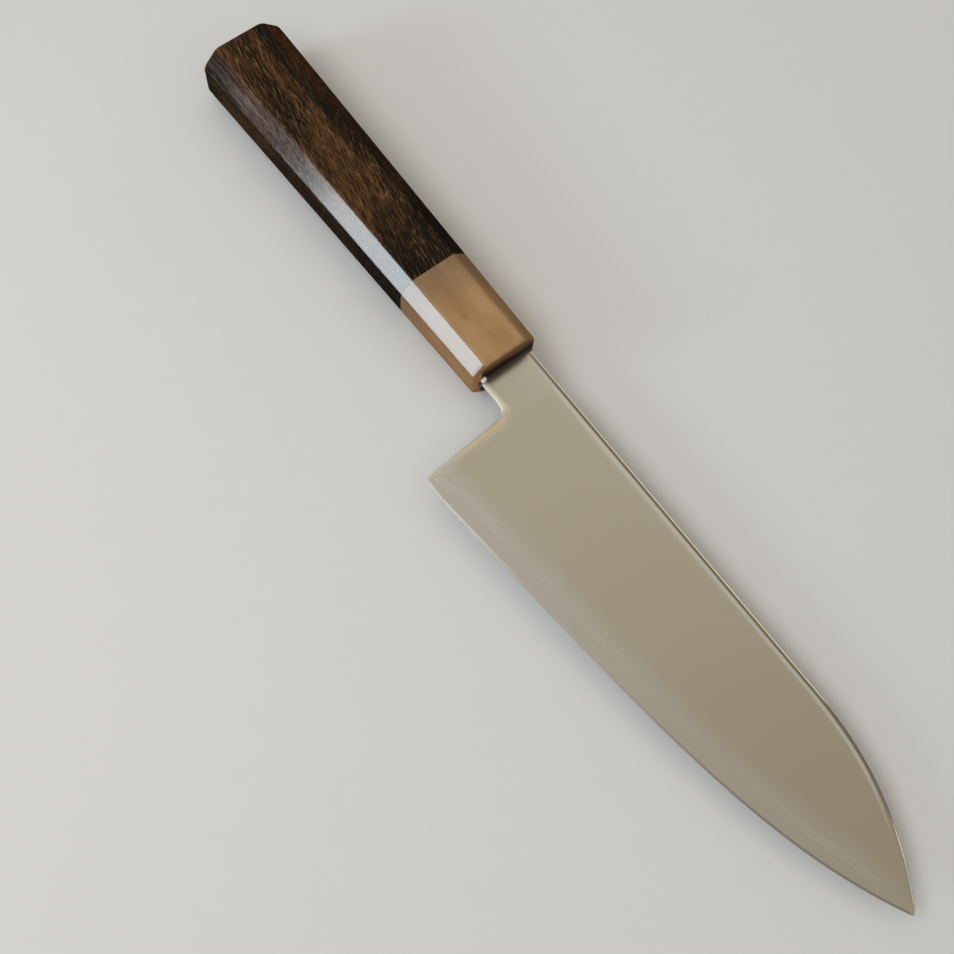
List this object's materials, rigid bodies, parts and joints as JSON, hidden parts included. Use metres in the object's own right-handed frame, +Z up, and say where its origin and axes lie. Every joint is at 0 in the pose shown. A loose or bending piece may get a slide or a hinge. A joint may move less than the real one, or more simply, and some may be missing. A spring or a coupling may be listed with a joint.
{
  "type": "santoku knife",
  "caption": "Santoku kitchen knife with a laminated steel blade, a horn ferrule and an octagonal wooden handle, lying on its side.",
  "frame": {"origin": "under the middle of the knife's box, on the surface that the lower flat of the handle lies on", "axes": "+X along the handle towards the tip, +Y from the cutting edge towards the spine, +Z up, out of the blade's right side"},
  "size_m": [0.3104, 0.0522, 0.0206],
  "materials": {
    "core_steel": "polished",
    "laminate_steel": "satin",
    "cladding_steel": "polished",
    "horn": "satin",
    "dark_wood": "satin",
    "resin": "gloss",
    "sealant": "gloss"
  },
  "bodies": {
    "root": {"blade_core": "core_steel", "laminate_right": "laminate_steel", "laminate_left": "laminate_steel", "cladding_right": "cladding_steel", "cladding_left": "cladding_steel", "ferrule": "horn", "handle_body": "dark_wood", "tang_bedding": "resin", "mouth_seal": "sealant"}
  },
  "joints": []
}
